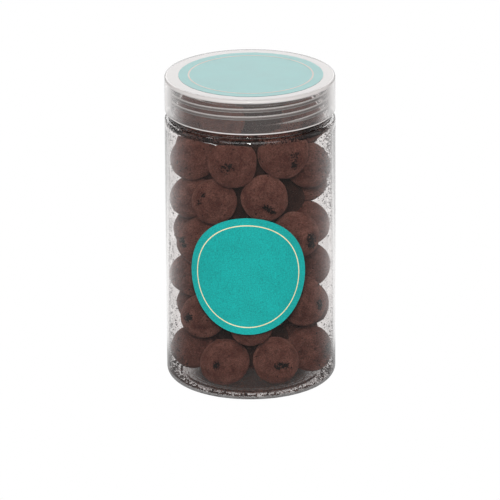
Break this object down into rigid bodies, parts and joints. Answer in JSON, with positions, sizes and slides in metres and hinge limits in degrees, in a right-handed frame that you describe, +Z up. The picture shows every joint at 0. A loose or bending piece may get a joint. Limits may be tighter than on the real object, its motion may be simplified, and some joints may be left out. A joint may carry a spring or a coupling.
{
  "type": "jar of cocoa dusted hazelnut dragees",
  "caption": "Clear round screw-top jar filled to the neck with cocoa dusted hazelnut dragees, with a plain round turquoise label on its front and another on its lid.",
  "frame": {"origin": "middle of the resting ring under the jar, on the surface that it stands on", "axes": "+Z up along the jar's axis, the front label faces -Y, +X to the right as seen from the front"},
  "size_m": [0.0698, 0.0703, 0.1303],
  "materials": {
    "clear_plastic": "clear blow-moulded plastic, glossy",
    "milky_plastic": "slightly milky moulded plastic, glossy",
    "cocoa_dusted_chocolate": "dark chocolate dusted with cocoa powder, matte, with bare scuffs",
    "label_paper": "turquoise printed paper, satin, with a thin cream ring",
    "lid_paper": "turquoise printed paper, satin, with a thin pale ring"
  },
  "bodies": {
    "root": {"jar_body": "clear_plastic", "dragee_heap": "cocoa_dusted_chocolate", "lid": "milky_plastic", "lid_sticker": "lid_paper", "front_label": "label_paper"}
  },
  "joints": []
}
